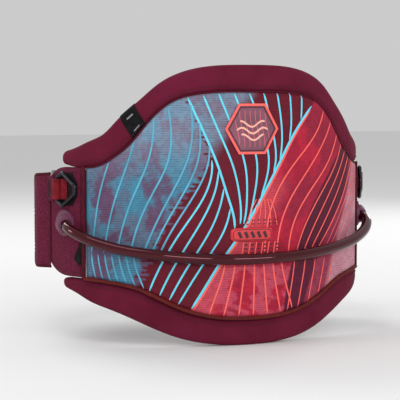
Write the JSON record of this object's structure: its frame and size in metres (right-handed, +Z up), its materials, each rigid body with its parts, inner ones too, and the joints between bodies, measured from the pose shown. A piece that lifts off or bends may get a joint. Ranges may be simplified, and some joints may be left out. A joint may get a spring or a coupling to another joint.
{
  "type": "waist harness",
  "caption": "Waist harness for kite and windsurf riding: a moulded padded back with soft hems, side rings and a leash line in a tube, closed in front by a hooked spreader bar on cam straps.",
  "frame": {"origin": "middle of the waist opening at the height of the middle of the spreader bar", "axes": "+Z up as worn; the wearer faces -Y, so the padded back is at +Y and the hook at -Y; +X is the wearer's left"},
  "size_m": [0.3294, 0.3001, 0.255],
  "materials": {
    "printed_fabric": "printed woven cloth",
    "stiffener": "matt sheet",
    "foam": "closed-cell foam",
    "lining": "brushed neoprene",
    "hem_fabric": "matt neoprene",
    "piping": "folded tape",
    "emblem_rubber": "printed rubber",
    "badge_rubber": "moulded rubber",
    "label_cloth": "woven label",
    "wing_fabric": "coarse woven cloth",
    "eyelet_rubber": "moulded rubber",
    "dark_steel": "gunmetal",
    "red_webbing": "woven tape",
    "black_webbing": "woven tape",
    "belt_fabric": "elastic neoprene",
    "tube_plastic": "glossy tube",
    "line_rope": "braided rope",
    "bar_steel": "satin",
    "pad_fabric": "soft padded cloth",
    "buckle_metal": "satin black",
    "lever_plastic": "moulded"
  },
  "bodies": {
    "harness": {"printed_back_panel": "printed_fabric", "stiffener_sheet": "stiffener", "foam_core": "foam", "inner_lining": "lining", "lumbar_battens": "stiffener", "top_hem": "hem_fabric", "bottom_hem": "hem_fabric", "lower_piping": "piping", "left_side_binding": "piping", "right_side_binding": "piping", "hex_emblem": "emblem_rubber", "rubber_badge": "badge_rubber", "hem_label": "label_cloth", "left_hip_wing": "wing_fabric", "left_eyelet": "eyelet_rubber", "left_ring_loop": "red_webbing", "left_ring_patch": "black_webbing", "left_closure_belt": "belt_fabric", "left_anchor_straps": "black_webbing", "left_strap_keepers": "black_webbing", "left_hip_flap": "wing_fabric", "right_hip_wing": "wing_fabric", "right_eyelet": "eyelet_rubber", "right_ring_loop": "red_webbing", "right_ring_patch": "black_webbing", "right_closure_belt": "belt_fabric", "right_anchor_straps": "black_webbing", "right_strap_keepers": "black_webbing", "right_hip_flap": "wing_fabric", "leash_tube": "tube_plastic", "leash_line": "line_rope", "hook_tape": "black_webbing", "loop_tape": "black_webbing", "catch_frame": "bar_steel", "upper_left_strap": "black_webbing", "upper_left_buckle_frame": "buckle_metal", "lower_left_strap": "black_webbing", "lower_left_buckle_frame": "buckle_metal", "upper_right_strap": "black_webbing", "upper_right_buckle_frame": "buckle_metal", "lower_right_strap": "black_webbing", "lower_right_buckle_frame": "buckle_metal", "cam_pins": "dark_steel"},
    "bar": {"spreader_bar": "bar_steel", "bar_left_end": "bar_steel", "bar_right_end": "bar_steel", "hook_plate": "bar_steel", "hook": "bar_steel", "hook_screws": "bar_steel", "bar_pad": "pad_fabric"},
    "left_ring": {"left_leash_ring": "dark_steel"},
    "right_ring": {"right_leash_ring": "dark_steel"},
    "upper_left_lever": {"upper_left_cam_lever": "lever_plastic"},
    "lower_left_lever": {"lower_left_cam_lever": "lever_plastic"},
    "upper_right_lever": {"upper_right_cam_lever": "lever_plastic"},
    "lower_right_lever": {"lower_right_cam_lever": "lever_plastic"}
  },
  "joints": [
    {"name": "bar_swing", "type": "hinge", "parent": "harness", "child": "bar", "pos_m": [0.12231, -0.09026, 0], "axis": [0, 0, 1], "range_deg": [0, 80]},
    {"name": "left_ring_swing", "type": "hinge", "parent": "harness", "child": "left_ring", "pos_m": [0.15655, 0.0274, 0.026], "axis": [0, 0, -1], "range_deg": [0, 120]},
    {"name": "right_ring_swing", "type": "hinge", "parent": "harness", "child": "right_ring", "pos_m": [-0.15655, 0.0274, 0.026], "axis": [0, 0, 1], "range_deg": [0, 120]},
    {"name": "upper_left_lever_lift", "type": "hinge", "parent": "harness", "child": "upper_left_lever", "pos_m": [0.14317, -0.06693, 0.016], "axis": [0, 0, -1], "range_deg": [0, 75]},
    {"name": "lower_left_lever_lift", "type": "hinge", "parent": "harness", "child": "lower_left_lever", "pos_m": [0.14317, -0.06693, -0.016], "axis": [0, 0, -1], "range_deg": [0, 75]},
    {"name": "upper_right_lever_lift", "type": "hinge", "parent": "harness", "child": "upper_right_lever", "pos_m": [-0.14317, -0.06693, 0.016], "axis": [0, 0, 1], "range_deg": [0, 75]},
    {"name": "lower_right_lever_lift", "type": "hinge", "parent": "harness", "child": "lower_right_lever", "pos_m": [-0.14317, -0.06693, -0.016], "axis": [0, 0, 1], "range_deg": [0, 75]}
  ]
}
